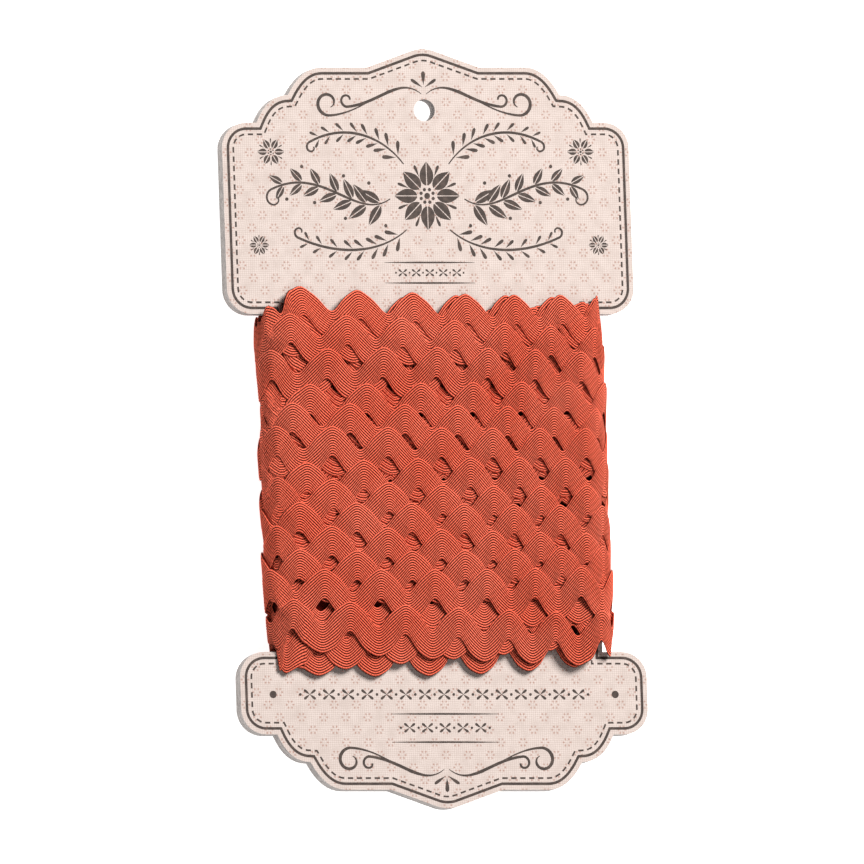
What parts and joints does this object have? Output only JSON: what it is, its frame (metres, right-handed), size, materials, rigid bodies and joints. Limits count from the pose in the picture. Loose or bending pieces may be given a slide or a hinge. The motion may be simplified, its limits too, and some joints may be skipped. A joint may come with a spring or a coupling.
{
  "type": "roll of ric rac on a card",
  "caption": "Flat stepped card with a narrow waist, wound with wavy ric rac braid, with a small hole near its top edge for hanging.",
  "frame": {"origin": "on the surface the roll rests on, under the middle of the card", "axes": "+X across the card to its right, +Y up the card towards its hang hole, +Z out of its printed face"},
  "size_m": [0.083, 0.1482, 0.011],
  "materials": {
    "ric_rac_braid": "ribbed woven cotton, matt",
    "printed_board": "printed, matt"
  },
  "bodies": {
    "root": {"card": "printed_board", "winding": "ric_rac_braid"}
  },
  "joints": []
}
